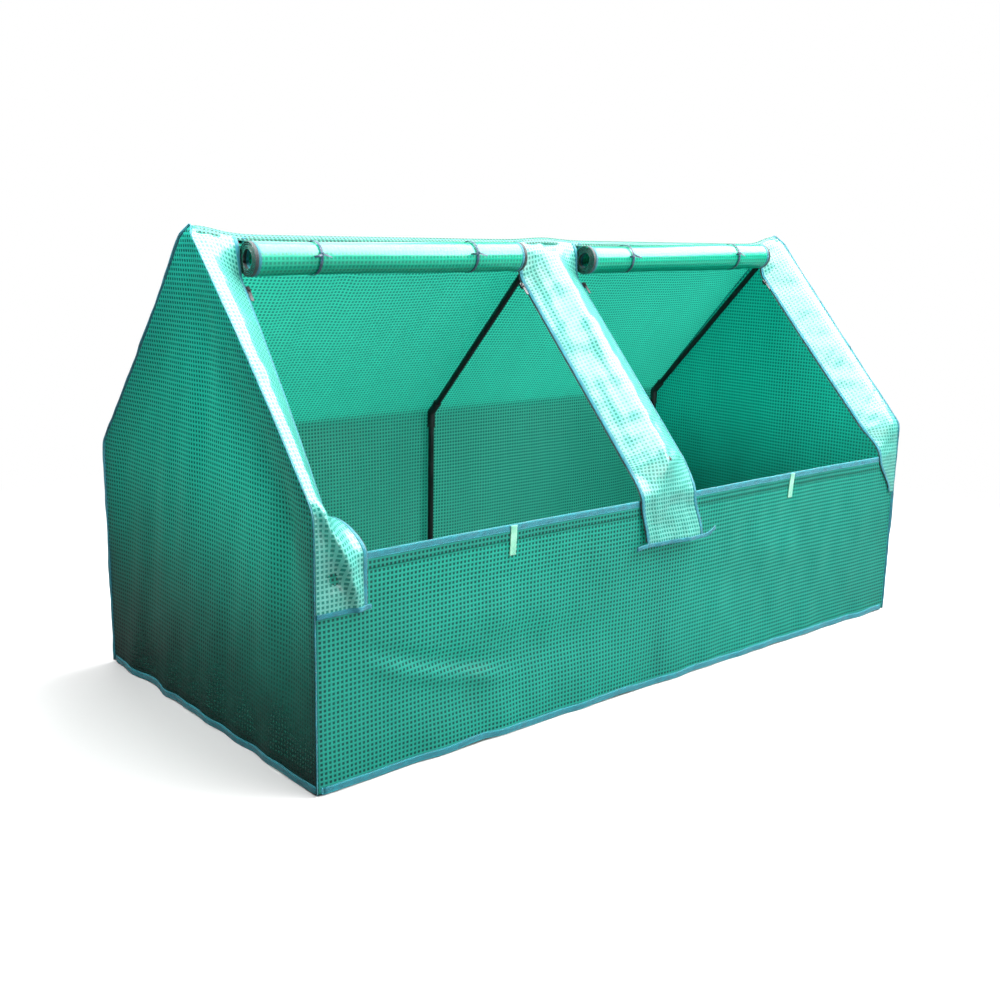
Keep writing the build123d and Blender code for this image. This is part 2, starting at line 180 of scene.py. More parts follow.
def grid_arrays(points, uv, closed=False):
    """Faces and corner UVs of a grid of points (rows, columns, 3). closed joins its last column to
    its first."""
    rows, columns = points.shape[:2]
    index = np.arange(rows * columns).reshape(rows, columns)
    spans = columns if closed else columns - 1
    a = index[:-1, :spans]
    b = np.roll(index, -1, axis=1)[:-1, :spans]
    c = np.roll(index, -1, axis=1)[1:, :spans]
    d = index[1:, :spans]
    faces = np.stack([a, b, c, d], -1).reshape(-1, 4)
    if closed:
        uv_index = np.arange(rows * (columns + 1)).reshape(rows, columns + 1)
        parts = [uv_index[:-1, :-1], uv_index[:-1, 1:], uv_index[1:, 1:], uv_index[1:, :-1]]
    else:
        parts = [a, b, c, d]
    corner_uvs = uv.reshape(-1, 2)[np.stack(parts, -1).reshape(-1, 4)]
    return faces, corner_uvs


def thicken(piece, thickness=CLOTH):
    """Gives a sheet a real thickness behind its outer face, closed round its rim."""
    modifier = piece.modifiers.new("thickness", "SOLIDIFY")
    modifier.thickness = thickness
    modifier.offset = -1
    modifier.use_rim = True
    return piece


def sheet_piece(name, body, points, uv, material, thickness=CLOTH):
    """A sheet of cloth from a grid of points and its UVs in metres of flat cloth."""
    faces, corner_uvs = grid_arrays(points, uv)
    piece = add_piece(name, body, points, faces, corner_uvs, material)
    return thicken(piece, thickness)


def ribbon_arrays(path, side, normal, half_width, half_thickness, around=12):
    """A flat band carried along a path: each section is a rounded flat loop, cos and sin raised to a
    power below 1 so that its sides are flat, and both ends are drawn in to a closed point. side and
    normal are one vector, or one for each point."""
    side, normal = (np.broadcast_to(vector, path.shape) for vector in (side, normal))
    angle = np.linspace(0, 2 * math.pi, around, endpoint=False)
    power = 0.45
    across = np.sign(np.cos(angle)) * np.abs(np.cos(angle)) ** power
    up = np.sign(np.sin(angle)) * np.abs(np.sin(angle)) ** power
    path = np.concatenate([path[:1], path, path[-1:]])
    side = unit(np.concatenate([side[:1], side, side[-1:]]))
    normal = unit(np.concatenate([normal[:1], normal, normal[-1:]]))
    size = np.ones(len(path))
    size[[0, -1]] = 1e-3
    points = (
        path[:, None]
        + side[:, None] * (across[None, :, None] * (size * half_width)[:, None, None])
        + normal[:, None] * (up[None, :, None] * (size * half_thickness)[:, None, None])
    )
    run = np.concatenate([[0], np.cumsum(np.linalg.norm(np.diff(path, axis=0), axis=1))])
    turn = np.append(across, across[0]) * half_width
    uv = np.stack(np.broadcast_arrays(run[:, None], turn[None, :]), -1)
    faces, corner_uvs = grid_arrays(points, uv, closed=True)
    return points, faces, corner_uvs


def joined(parts):
    """Several (points, faces, corner UVs) as one."""
    start = 0
    points, faces, uvs = [], [], []
    for p, f, u in parts:
        points.append(p.reshape(-1, 3))
        faces.append(f + start)
        uvs.append(u.reshape(-1, 2))
        start += len(points[-1])
    return np.concatenate(points), np.concatenate(faces), np.concatenate(uvs)


def ribbon_piece(name, body, bands, material):
    """One piece made of bands, each the arguments of ribbon_arrays."""
    points, faces, uvs = joined([ribbon_arrays(*band) for band in bands])
    return add_piece(name, body, points, faces, uvs, material)


def side_and_normal(surface, u, v, du, dv):
    """Side and normal vectors of a surface function at the points (u, v), from nearby points."""
    side = unit(surface(u + du, v) - surface(u - du, v))
    ahead = unit(surface(u, v + dv) - surface(u, v - dv))
    return side, unit(np.cross(side, ahead))


# --- Materials --------------------------------------------------------------------------------


class Nodes:
    """Short calls for a material's node tree."""

    def __init__(self, name):
        self.material = bpy.data.materials.new(name)
        self.material.use_nodes = True
        self.tree = self.material.node_tree
        self.tree.nodes.clear()

    def node(self, kind, settings=None, **inputs):
        made = self.tree.nodes.new(kind)
        for key, value in (settings or {}).items():
            setattr(made, key, value)
        for key, value in inputs.items():
            self.feed(made, key.replace("_", " "), value)
        return made

    def feed(self, node, key, value):
        socket = node.inputs[int(key[1:])] if key[0] == "i" and key[1:].isdigit() else node.inputs[key]
        if isinstance(value, bpy.types.NodeSocket):
            self.tree.links.new(value, socket)
        else:
            socket.default_value = value

    def math(self, operation, a, b=0.0, c=0.0):
        return self.node("ShaderNodeMath", {"operation": operation}, i0=a, i1=b, i2=c).outputs[0]

    def ramp(self, value, low, high, to_low=0.0, to_high=1.0):
        made = self.node("ShaderNodeMapRange", {"interpolation_type": "SMOOTHSTEP"})
        for key, number in zip(range(5), (value, low, high, to_low, to_high)):
            self.feed(made, f"i{key}", number)
        return made.outputs[0]

    def mix(self, share, a, b):
        made = self.node("ShaderNodeMix", {"data_type": "RGBA"})
        self.feed(made, "i0", share)
        self.feed(made, "i6", a)
        self.feed(made, "i7", b)
        return made.outputs[2]

    def noise(self, vector, scale, detail=3.0, roughness=0.5):
        made = self.node(
            "ShaderNodeTexNoise", None, Vector=vector, Scale=scale, Detail=detail, Roughness=roughness
        )
        return made.outputs[0]

    def bump(self, height, distance, strength=1.0, normal=None):
        made = self.node("ShaderNodeBump", None, Height=height, Distance=distance, Strength=strength)
        if normal is not None:
            self.feed(made, "Normal", normal)
        return made.outputs[0]

    def finish(self, shader):
        self.node("ShaderNodeOutputMaterial", None, Surface=shader)
        return self.material


def rgba(red, green, blue):
    """A solid colour as a socket takes it."""
    return (red, green, blue, 1.0)


# Painted shade: the dark colour the cloth falls to toward the ground.
PAINTED_FOOT_SHADE = rgba(0.004, 0.010, 0.008)


def scaled(colour, share, added=0.0):
    """A colour times a share, plus the same added to each channel, at most 1."""
    return rgba(*[min(1.0, c * share + added) for c in colour])


def mesh_cloth(name, thread, film, roughness, see_through, glow, coat, coat_roughness, foot=1.0):
    """Polyethylene film over a square grid of threads. The threads stand up a little and are lighter
    and more solid than the film between them. The colour falls to the share foot of itself toward the
    ground, where it is mixed with a dark colour along a ragged edge: painted shade low on the sheet."""
    n = Nodes(name)
    place = n.node("ShaderNodeTexCoord").outputs["UV"]
    split = n.node("ShaderNodeSeparateXYZ", None, Vector=place)
    masks = []
    for axis in (0, 1):
        step = n.math("MULTIPLY", split.outputs[axis], 1 / GRID)
        from_middle = n.math("ABSOLUTE", n.math("SUBTRACT", n.math("FRACT", step), 0.5))
        masks.append(n.ramp(from_middle, 0.24, 0.32))
    threads = n.math("MAXIMUM", masks[0], masks[1])
    crossing = n.math("MULTIPLY", masks[0], masks[1])
    patchy = n.noise(place, 5.0, 2.0)
    fine = n.noise(place, 90.0, 4.0, 0.6)
    thread_colour = n.mix(patchy, scaled(thread, 0.82), scaled(thread, 1.15))
    film_colour = n.mix(patchy, scaled(film, 0.75), scaled(film, 1.25))
    colour = n.mix(threads, film_colour, thread_colour)
    # Painted shade: toward the ground the colour is mixed with a dark colour, along a ragged noisy edge.
    shade_rise = n.math("ADD", split.outputs[1], n.math("MULTIPLY", n.noise(place, 9.0, 4.0), 0.12))
    painted_shade = n.ramp(shade_rise, 0.02, 0.62, 1.0, 0.0) if foot < 1 else 0.0
    colour = n.mix(painted_shade, colour, n.mix(1 - foot, colour, PAINTED_FOOT_SHADE))
    height = n.math("ADD", n.math("MULTIPLY", threads, 0.7), n.math("MULTIPLY", crossing, 0.5))
    height = n.math("ADD", height, n.math("MULTIPLY", fine, 0.35))
    crinkle = n.bump(n.noise(place, 28.0, 2.0), 0.004, 0.25)
    relief = n.bump(height, 0.0004, 0.8, crinkle)
    skin = n.node(
        "ShaderNodeBsdfPrincipled",
        None,
        Base_Color=colour,
        Roughness=n.ramp(fine, 0.2, 0.8, roughness, roughness + 0.18),
        Normal=relief,
    )
    skin.inputs["IOR"].default_value = 1.5
    skin.inputs["Coat Weight"].default_value = coat
    skin.inputs["Coat Roughness"].default_value = coat_roughness
    skin.inputs["Coat IOR"].default_value = 1.7
    through = n.node("ShaderNodeBsdfTranslucent", None, Normal=relief)
    glowing = n.mix(threads, scaled(film, glow, 0.03), scaled(thread, glow, 0.03))
    # The light let through is darkened toward the ground by the same painted shade.
    n.feed(through, "Color", n.mix(painted_shade, glowing, n.mix(1 - foot, glowing, PAINTED_FOOT_SHADE)))
    solid = n.node("ShaderNodeMixShader", None, i0=0.45, i1=skin.outputs[0], i2=through.outputs[0])
    clear = n.node("ShaderNodeBsdfTransparent", None, Color=scaled(thread, 1.6, 0.12))
    open_share = n.ramp(threads, 0.0, 1.0, see_through, see_through * 0.12)
    both = n.node("ShaderNodeMixShader", None, i0=open_share, i1=solid.outputs[0], i2=clear.outputs[0])
    return n.finish(both.outputs[0])


def woven_band(name, colour, dark, rib=0.0009, shine=0.45, stitch=None):
    """Narrow woven tape: fine ribs across it, a little unevenness, and a row of stitches near each
    edge where stitch says so."""
    n = Nodes(name)
    place = n.node("ShaderNodeTexCoord").outputs["UV"]
    split = n.node("ShaderNodeSeparateXYZ", None, Vector=place)
    ribs = n.math("SINE", n.math("MULTIPLY", split.outputs[0], 2 * math.pi / rib))
    cross = n.math("SINE", n.math("MULTIPLY", split.outputs[1], 2 * math.pi / rib))
    weave = n.math("MULTIPLY", ribs, cross)
    uneven = n.noise(place, 60.0, 3.0)
    tone = n.math("ADD", n.math("MULTIPLY", weave, 0.18), uneven)
    base = n.mix(n.ramp(tone, 0.25, 0.8), rgba(*dark), rgba(*colour))
    height = weave
    if stitch:
        offset, half, colour_of_thread = stitch
        from_row = n.math("ABSOLUTE", n.math("SUBTRACT", n.math("ABSOLUTE", split.outputs[1]), offset))
        in_row = n.ramp(from_row, half, half * 0.5)
        dash = n.math("FRACT", n.math("MULTIPLY", split.outputs[0], 1 / 0.0045))
        in_dash = n.ramp(n.math("ABSOLUTE", n.math("SUBTRACT", dash, 0.5)), 0.38, 0.3)
        stitches = n.math("MULTIPLY", in_row, in_dash)
        base = n.mix(stitches, base, rgba(*colour_of_thread))
        height = n.math("ADD", weave, n.math("MULTIPLY", stitches, 2.0))
    skin = n.node(
        "ShaderNodeBsdfPrincipled",
        None,
        Base_Color=base,
        Roughness=n.ramp(uneven, 0.3, 0.7, shine - 0.08, shine + 0.12),
        Normal=n.bump(height, 0.00025, 0.7),
    )
    skin.inputs["Sheen Weight"].default_value = 0.15
    skin.inputs["Coat Weight"].default_value = 0.15
    return n.finish(skin.outputs[0])


def powder_coat(name):
    """Black powder coat on steel: orange-peel bump, faint dust and scuffs."""
    n = Nodes(name)
    place = n.node("ShaderNodeTexCoord").outputs["Object"]
    peel = n.noise(place, 900.0, 2.0)
    scuffs = n.noise(place, 22.0, 6.0, 0.7)
    base = n.mix(n.ramp(scuffs, 0.55, 0.8), rgba(0.006, 0.006, 0.007), rgba(0.03, 0.03, 0.032))
    skin = n.node(
        "ShaderNodeBsdfPrincipled",
        None,
        Base_Color=base,
        Roughness=n.ramp(scuffs, 0.3, 0.8, 0.28, 0.55),
        Normal=n.bump(peel, 0.0002, 0.35),
    )
    return n.finish(skin.outputs[0])


def moulded_plastic(name):
    """Black polypropylene: fine spark-eroded grain, slightly worn lighter in patches."""
    n = Nodes(name)
    place = n.node("ShaderNodeTexCoord").outputs["Object"]
    grain = n.noise(place, 1500.0, 3.0)
    wear = n.noise(place, 45.0, 5.0, 0.65)
    base = n.mix(n.ramp(wear, 0.5, 0.85), rgba(0.010, 0.010, 0.011), rgba(0.045, 0.045, 0.047))
    skin = n.node(
        "ShaderNodeBsdfPrincipled",
        None,
        Base_Color=base,
        Roughness=n.ramp(wear, 0.2, 0.8, 0.42, 0.6),
        Normal=n.bump(grain, 0.0002, 0.5),
    )
    return n.finish(skin.outputs[0])


def enamelled_metal(name):
    """Dark enamel on die-cast zinc, rubbed bright here and there."""
    n = Nodes(name)
    place = n.node("ShaderNodeTexCoord").outputs["Object"]
    rub = n.noise(place, 400.0, 5.0, 0.7)
    worn = n.ramp(rub, 0.58, 0.75)
    base = n.mix(worn, rgba(0.02, 0.022, 0.025), rgba(0.35, 0.35, 0.36))
    skin = n.node(
        "ShaderNodeBsdfPrincipled",
        None,
        Base_Color=base,
        Metallic=worn,
        Roughness=n.ramp(rub, 0.3, 0.8, 0.3, 0.45),
        Normal=n.bump(rub, 0.0001, 0.3),
    )
    return n.finish(skin.outputs[0])


def loop_tape(name):
    """Pale hook-and-loop tape: a dense nap of small loops."""
    n = Nodes(name)
    place = n.node("ShaderNodeTexCoord").outputs["UV"]
    nap = n.noise(place, 900.0, 4.0, 0.8)
    tone = n.noise(place, 40.0, 3.0)
    base = n.mix(n.ramp(tone, 0.3, 0.7), rgba(0.16, 0.52, 0.36), rgba(0.30, 0.70, 0.50))
    skin = n.node(
        "ShaderNodeBsdfPrincipled", None, Base_Color=base, Roughness=0.85, Normal=n.bump(nap, 0.0006, 0.9)
    )
    skin.inputs["Sheen Weight"].default_value = 0.4
    return n.finish(skin.outputs[0])


def floor_paint(name):
    """Pale matt floor, which brightens to plain white further out. It throws little light back."""
    n = Nodes(name)
    place = n.node("ShaderNodeTexCoord").outputs["Object"]
    cloud = n.noise(place, 1.5, 2.0)
    base = n.mix(cloud, rgba(0.60, 0.60, 0.60), rgba(0.63, 0.63, 0.63))
    skin = n.node("ShaderNodeBsdfDiffuse", None, Color=base)
    white = n.node("ShaderNodeEmission", None, Color=rgba(1.0, 1.0, 1.0), Strength=1.0)
    distance = n.node("ShaderNodeVectorMath", {"operation": "LENGTH"}, i0=place).outputs["Value"]
    far = n.ramp(distance, 1.1, 2.6)
    seen = n.node("ShaderNodeMixShader", None, i0=far, i1=skin.outputs[0], i2=white.outputs[0])
    dim = n.node("ShaderNodeBsdfDiffuse", None, Color=rgba(0.16, 0.16, 0.16))
    direct = n.node("ShaderNodeLightPath").outputs["Is Camera Ray"]
    both = n.node("ShaderNodeMixShader", None, i0=direct, i1=dim.outputs[0], i2=seen.outputs[0])
    return n.finish(both.outputs[0])


THREAD = (0.018, 0.39, 0.32)
FILM = (0.001, 0.105, 0.092)
HAZY_THREAD, HAZY_FILM = (0.065, 0.39, 0.32), (0.004, 0.105, 0.092)
GABLE_THREAD = (0.012, 0.37, 0.30)
# Lapel colours: a paler, whiter copy of the cover cloth's, a painted highlight for the glare of the overhead
# light.
GLARE_PALE_LAPEL_THREAD, GLARE_PALE_LAPEL_FILM = (0.22, 0.66, 0.58), (0.02, 0.34, 0.29)
DOOR_THREAD, DOOR_FILM = (0.012, 0.62, 0.44), (0.003, 0.40, 0.27)

# Roughness, share seen through, glow, coat and its roughness, and at last the share of colour at the foot, where
# painted shade darkens the cloth
WALL_CLOTH = mesh_cloth("cover_sheet", HAZY_THREAD, HAZY_FILM, 0.34, 0.30, 2.3, 0.35, 0.25)
# The gables fall to 0.12 of their colour at the foot: painted shade.
GABLE_CLOTH = mesh_cloth("gable_sheet", GABLE_THREAD, FILM, 0.34, 0.30, 2.0, 0.25, 0.25, 0.12)
FRONT_CLOTH = mesh_cloth("front_sheet", THREAD, FILM, 0.36, 0.30, 2.1, 0.30, 0.30)
# Lapel cloth with the painted-highlight colours, on top of the coat's real reflection.
GLARE_PALE_LAPEL_CLOTH = mesh_cloth("lapel_sheet", GLARE_PALE_LAPEL_THREAD, GLARE_PALE_LAPEL_FILM, 0.26, 0.20, 1.6, 1.0, 0.26)
DOOR_CLOTH = mesh_cloth("door_sheet", DOOR_THREAD, DOOR_FILM, 0.24, 0.05, 1.4, 1.0, 0.24)

# Stitches: distance from the band's middle, half width and colour of the thread
STITCH = (0.0052, 0.0006, (0.02, 0.62, 0.68))
BINDING = woven_band("cyan_binding", (0.0, 0.27, 0.34), (0.0, 0.15, 0.20), shine=0.6, stitch=STITCH)
SEAM = woven_band("seam_binding", (0.0, 0.26, 0.33), (0.0, 0.10, 0.14))
ZIP_TAPE = woven_band("zip_tape", (0.012, 0.02, 0.026), (0.004, 0.008, 0.010), shine=0.55)
TIE_TAPE = woven_band("tie_tape", (0.002, 0.10, 0.19), (0.0, 0.02, 0.04))
LOOP_TAPE = loop_tape("loop_tape")
TUBE_COAT = powder_coat("black_powder_coat")
CONNECTOR_PLASTIC = moulded_plastic("black_moulding")
ZIP_METAL = enamelled_metal("zip_enamel")


# --- The cover's own shape --------------------------------------------------------------------


def ridge_lift(x):
    """How far the ridge stands above its mean line: peaks on the hoops, and a slight dip between."""
    end_peak = np.where(x > 0, 0.022, 0.016) * bell((HALF_LENGTH - np.abs(x)) / 0.075)
    return end_peak + 0.006 * bell(x / 0.07) - 0.003


def end_x(z):
    """How far from the middle the gables stand at a height: drawn in a little along the slopes, and
    rounded off at the peak."""
    along_slope = np.sin(math.pi * np.clip((z - EAVE) / (RIDGE - EAVE), 0, 1))
    return HALF_LENGTH - 0.0045 * along_slope - 0.012 * smooth((z - RIDGE + 0.014) / 0.024)


def between_hoops(x):
    """0 at each hoop and 1 midway between two."""
    return np.sin(math.pi * np.clip(np.abs(x) / HALF_LENGTH, 0, 1)) ** 2


def cover_yz(x, s):
    """Y and Z of the taut cover at length s along its section: straight runs between the hem, eaves and
    ridge, and at each corner the run turns as (u + sqrt(u² + 4r²)) / 2, a hyperbola of size r."""
    x, s = np.broadcast_arrays(np.asarray(x, float), np.asarray(s, float))
    top = RIDGE + ridge_lift(x)
    rise = (top - EAVE) / SLOPE
    reach = np.full_like(rise, HALF_DEPTH / SLOPE)
    zero, one = np.zeros_like(rise), np.ones_like(rise)
    runs = [(zero, one), (reach, rise), (reach, -rise), (zero, -one)]
    y = -HALF_DEPTH + zero
    z = s.copy()
    turns = ((FRONT_EAVE_S, EAVE_TURN), (RIDGE_S, RIDGE_TURN), (BACK_EAVE_S, EAVE_TURN))
    for (corner, size), before, after in zip(turns, runs, runs[1:]):
        past = s - corner
        share = (past + np.sqrt(past**2 + 4 * size**2)) / 2
        y = y + (after[0] - before[0]) * share
        z = z + (after[1] - before[1]) * share
    return y, z


def cover_point(x, s, proud=0.0):
    """A point of the cover, proud of its taut face along the section's outward normal."""
    y, z = cover_yz(x, s)
    y1, z1 = cover_yz(x, s - 0.001)
    y2, z2 = cover_yz(x, s + 0.001)
    length = np.hypot(y2 - y1, z2 - z1)
    out_y, out_z = -(z2 - z1) / length, (y2 - y1) / length
    x = np.broadcast_to(x, y.shape) * end_x(z) / HALF_LENGTH
    return np.stack([x, y + out_y * proud, z + out_z * proud], -1)


def hem_wave(run, seed):
    """Height of the hem's lower edge above the ground along its run: it lifts in long shallow waves."""
    return 0.0035 + 0.003 * waves(run, 0 * run, seed, 0.11, 0.5)


def back_proud(x, s):
    """How far the back stands off its taut face: it sags between the hoops and hangs in soft waves."""
    on_roof = np.clip((s - RIDGE_S) / SLOPE, 0, 1)
    on_wall = np.clip((s - BACK_EAVE_S) / EAVE, 0, 1)
    free = between_hoops(x)
    roof_shape = np.sin(math.pi * on_roof)
    wall_shape = np.sin(math.pi * on_wall) + 0.5 * smooth((on_wall - 0.8) / 0.2)
    sag = -0.011 * free * roof_shape - 0.008 * free * np.sin(math.pi * on_wall)
    roof_waves = 0.0022 * waves(x, s, 11, 0.06, 0.34) * (0.25 + 0.75 * free) * np.sqrt(roof_shape)
    return sag + roof_waves + 0.0024 * waves(x, s, 12, 0.07, 0.4) * wall_shape


# Back: ridge strip, roof and back wall in one sheet
x = np.linspace(-HALF_LENGTH, HALF_LENGTH, 241)[:, None]
s = np.linspace(RIDGE_S - STRIP_EDGE, BACK_HEM_S - 0.006, 150)[None, :]
back_points = cover_point(x, s, back_proud(x, s))
back_uv = np.stack(np.broadcast_arrays(x, s), -1)
back_sheet = sheet_piece("back_sheet", "frame", back_points, back_uv, WALL_CLOTH)
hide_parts("back_roof_panel", "back_wall_panel", "ridge_strip")


def gable_top(y, side):
    """Height of the gable's edge at y, read from the cover's section at that end."""
    section = np.linspace(FRONT_EAVE_S - 0.02, BACK_EAVE_S + 0.02, 600)
    section_y, section_z = cover_yz(side * HALF_LENGTH, section)
    return np.interp(y, section_y, section_z)


def end_point(side, y, z):
    """A gable's sheet: drawn in a little between the tubes, with soft upright folds."""
    top = gable_top(y, side)
    from_edge = smooth((HALF_DEPTH - np.abs(y)) / 0.12) * smooth((top - z) / 0.14)
    sag = 0.012 * from_edge * np.sin(math.pi * np.clip(z / RIDGE, 0, 1))
    folds = 0.0022 * waves(y, z, 21 + side, 0.09, 0.4, 0.25) * from_edge
    hang = 0.003 * waves(y, 0 * y, 24 + side, 0.1, 0.35) * bell(z / 0.12)
    return np.stack(np.broadcast_arrays(side * (end_x(z) - sag + folds + hang * from_edge), y, z), -1)


for side_name, side in (("left", -1), ("right", 1)):
    y = np.linspace(-HALF_DEPTH, HALF_DEPTH, 121)[None, :]
    rise = np.linspace(0, 1, 111)[:, None]
    z = SHEET_FOOT + rise * (gable_top(y, side) - SHEET_FOOT)
    y = y + 0 * z
    points = end_point(side, y, z)
    uv = np.stack([y, z], -1)
    if side < 0:
        points, uv = points[:, ::-1], uv[:, ::-1]
    end_sheet = sheet_piece(f"{side_name}_end_sheet", "frame", points, uv, GABLE_CLOTH)
    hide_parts(f"{side_name}_end_panel")


CREASE_START = np.array([-0.86, 0.262])
CREASE_END = np.array([-0.40, 0.137])


def front_y(x, z):
    """The front panel's outer face: it leans on the posts, sags between them, ripples, and has one
    curved crease low on the left."""
    free = between_hoops(x)
    height = np.clip(z / PANEL_TOP, 0, 1)
    sag = 0.010 * free * np.sin(math.pi * height) + 0.004 * free * height**2
    ripples = 0.0022 * waves(x, z, 31, 0.08, 0.42, 0.5) * (0.35 + 0.65 * free) * (1 - 0.6 * height**4)
    billow = 0.0030 * waves(z, x, 32, 0.12, 0.45, 0.35) * free * np.sin(math.pi * height)
    along = (x - CREASE_START[0]) / (CREASE_END[0] - CREASE_START[0])
    bow = -0.022 * np.sin(math.pi * np.clip(along, 0, 1))
    crease_z = CREASE_START[1] + along * (CREASE_END[1] - CREASE_START[1]) + bow
    above = (z - crease_z) / 0.020
    fade = smooth(along / 0.3) * smooth((1 - along) / 0.35)
    crease = 0.0055 * fade * (bell(above - 0.75) - 0.8 * bell(above + 0.75))
    hem_kick = 0.0025 * waves(x, 0 * x, 33, 0.13, 0.45) * bell(z / 0.09)
    return PANEL_FACE + sag + ripples + billow + crease + hem_kick


x = np.linspace(-HALF_LENGTH + 0.0006, HALF_LENGTH - 0.0006, 301)[:, None]
z = np.linspace(SHEET_FOOT, PANEL_TOP - 0.002, 90)[None, :]
front_points = np.stack(np.broadcast_arrays(x, front_y(x, z), z + 0 * x), -1)
front_uv = np.stack(np.broadcast_arrays(x, z), -1)
front_sheet = sheet_piece("front_sheet", "frame", front_points, front_uv, FRONT_CLOTH)
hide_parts("front_panel")

# The panel's top edge is folded over and stitched, so it has a second layer
HEM_FOLD = 0.034
z = np.linspace(PANEL_TOP - HEM_FOLD, PANEL_TOP - 0.003, 9)[None, :]
fold_points = np.stack(np.broadcast_arrays(x, front_y(x, z) - 0.0009, z + 0 * x), -1)
fold_uv = np.stack(np.broadcast_arrays(x + 0.003, z), -1)
fold = sheet_piece("front_sheet_fold", "frame", fold_points, fold_uv, FRONT_CLOTH)


# --- Bindings and seams of the cover ----------------------------------------------------------

x_line = np.linspace(-HALF_LENGTH + 0.001, HALF_LENGTH - 0.001, 301)
z_line = np.full_like(x_line, PANEL_TOP - WIDE_BAND[0] + 0.0005)
path = np.stack([x_line, front_y(x_line, z_line) - 0.0004, z_line], -1)
band = (path, UPWARD, FORWARD, *WIDE_BAND)
top_binding = ribbon_piece("front_top_binding", "frame", [band], BINDING)
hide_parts("front_panel_binding")


def hem_ring():
    """The hem's four sides in one run round the cover, with its width upright and a soft turn at each
    corner."""
    turn = 0.012
    step = 0.008
    corners = [
        (-HALF_LENGTH, PANEL_FACE),
        (HALF_LENGTH, PANEL_FACE),
        (HALF_LENGTH, HALF_DEPTH),
        (-HALF_LENGTH, HALF_DEPTH),
    ]
    runs = []
    for (x0, y0), (x1, y1) in zip(corners, corners[1:] + corners[:1]):
        start, end = np.array([x0, y0]), np.array([x1, y1])
        ahead = unit(end - start)
        count = int(np.linalg.norm(end - start) / step)
        share = np.linspace(turn, np.linalg.norm(end - start) - turn, count)[:, None]
        runs.append(start + ahead * share)
        leaving = np.array([ahead[1], -ahead[0]])
        bend = np.linspace(0, math.pi / 2, 7)[1:-1, None]
        next_ahead = -leaving
        centre = end - ahead * turn + next_ahead * turn
        runs.append(centre + leaving * np.cos(bend) * turn + ahead * np.sin(bend) * turn)
    return np.concatenate(runs)


hem_flat = hem_ring()
hem_run = np.concatenate([[0], np.cumsum(np.linalg.norm(np.diff(hem_flat, axis=0), axis=1))])
hem_x, hem_y = hem_flat.T
at_front = smooth((PANEL_FACE + 0.03 - hem_y) / 0.02)
at_back = smooth((hem_y - HALF_DEPTH + 0.03) / 0.02)
hem_mid = HEM_TOP * 0.62
hem_side = np.sign(hem_x)
at_side = smooth((np.abs(hem_x) - HALF_LENGTH + 0.012) / 0.011)
gable_off = end_point(1, hem_y, hem_mid)[:, 0] - HALF_LENGTH
gable_off = np.where(hem_side > 0, gable_off, -HALF_LENGTH - end_point(-1, hem_y, hem_mid)[:, 0])
hem_y = hem_y + at_front * (front_y(hem_x, np.full_like(hem_x, hem_mid)) - PANEL_FACE)
hem_y = hem_y + at_back * back_proud(hem_x, BACK_HEM_S - hem_mid)
hem_x = hem_x + hem_side * at_side * (gable_off + 0.0005)
hem_z = hem_mid + np.clip(hem_wave(hem_run, 41), 0.0005, 0.009) * 0.6
hem_path = np.stack([hem_x, hem_y, hem_z], -1)
hem_path = np.concatenate([hem_path, hem_path[:1]])
hem_ahead = np.gradient(hem_path, axis=0)
hem_out = unit(np.cross(hem_ahead, UPWARD))
band = (hem_path, UPWARD, hem_out, *WIDE_BAND)
hem_band = ribbon_piece("hem_binding", "frame", [band], BINDING)
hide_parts("cover_hem")

for side_name, side in (("left", -1), ("right", 1)):
    s_line = np.linspace(0.004, BACK_HEM_S - 0.004, 420)
    path = cover_point(side * HALF_LENGTH, s_line, 0.0)
    ahead = np.gradient(path, axis=0)
    sideways = np.array([float(side), 0.0, 0.0])
    out = unit(np.cross(ahead, sideways)) * -side
    leaning = unit(out + sideways)
    across = unit(np.cross(leaning, unit(ahead)))
    wobble = 0.0008 * waves(s_line, 0 * s_line, 51 + side, 0.05, 0.3)[:, None]
    band = (path + leaning * (0.0005 + wobble), leaning, across, *EDGE_BAND)
    ribbon_piece(f"{side_name}_gable_seam", "frame", [band], SEAM)


# --- Lapels -----------------------------------------------------------------------------------

TOP_S = RIDGE_S - STRIP_EDGE
FALL_S = RIDGE_S - 0.105


def down_roof(s):
    """The share of the open slope passed at s: 0 under the roll and 1 by the eave."""
    return np.clip((FALL_S - s) / (FALL_S - FRONT_EAVE_S - 0.032), 0, 1)


def near_ridge(s):
    """How much stronger the creases are where a lapel is gathered under the ridge strip."""
    return 1 + 1.2 * smooth((s - FALL_S) / 0.06)


def on_front(s):
    """1 where a lapel lies on the front panel, and 0 above its top edge."""
    return smooth((PANEL_TOP + 0.05 - s) / 0.05)


def lapel_droop(s, at_eave=DROOP):
    """How far a lapel's free edge hangs under the slope: none at the ridge strip and on the front panel,
    and at_eave by the eave."""
    below_roll = smooth((TOP_S + 0.004 - s) / (TOP_S - FALL_S))
    above_panel = smooth((s - PANEL_TOP + 0.004) / (FRONT_EAVE_S - PANEL_TOP + 0.012))
    return (DROOP + (at_eave - DROOP) * down_roof(s)) * below_roll * above_panel


def drape(u):
    """The share of the droop at u, from 0 over the rafter to 1 at the free edge: flat over the tube, then
    falling away evenly."""
    soft = 0.16
    return (np.sqrt(u**2 + soft**2) - soft) / (math.sqrt(1 + soft**2) - soft)


def hung(x, s, proud, depth):
    """A point of the cover, proud of its taut face, and hanging by depth into the greenhouse. The
    direction of hang turns slowly from the slope's inward normal to the front panel's."""
    pitch = (math.pi / 2 - PITCH) * smooth((s - FRONT_EAVE_S + 0.055) / 0.11)
    away = np.stack(np.broadcast_arrays(0 * depth, np.cos(pitch) * depth, -np.sin(pitch) * depth), -1)
    return cover_point(x, s, proud) + away


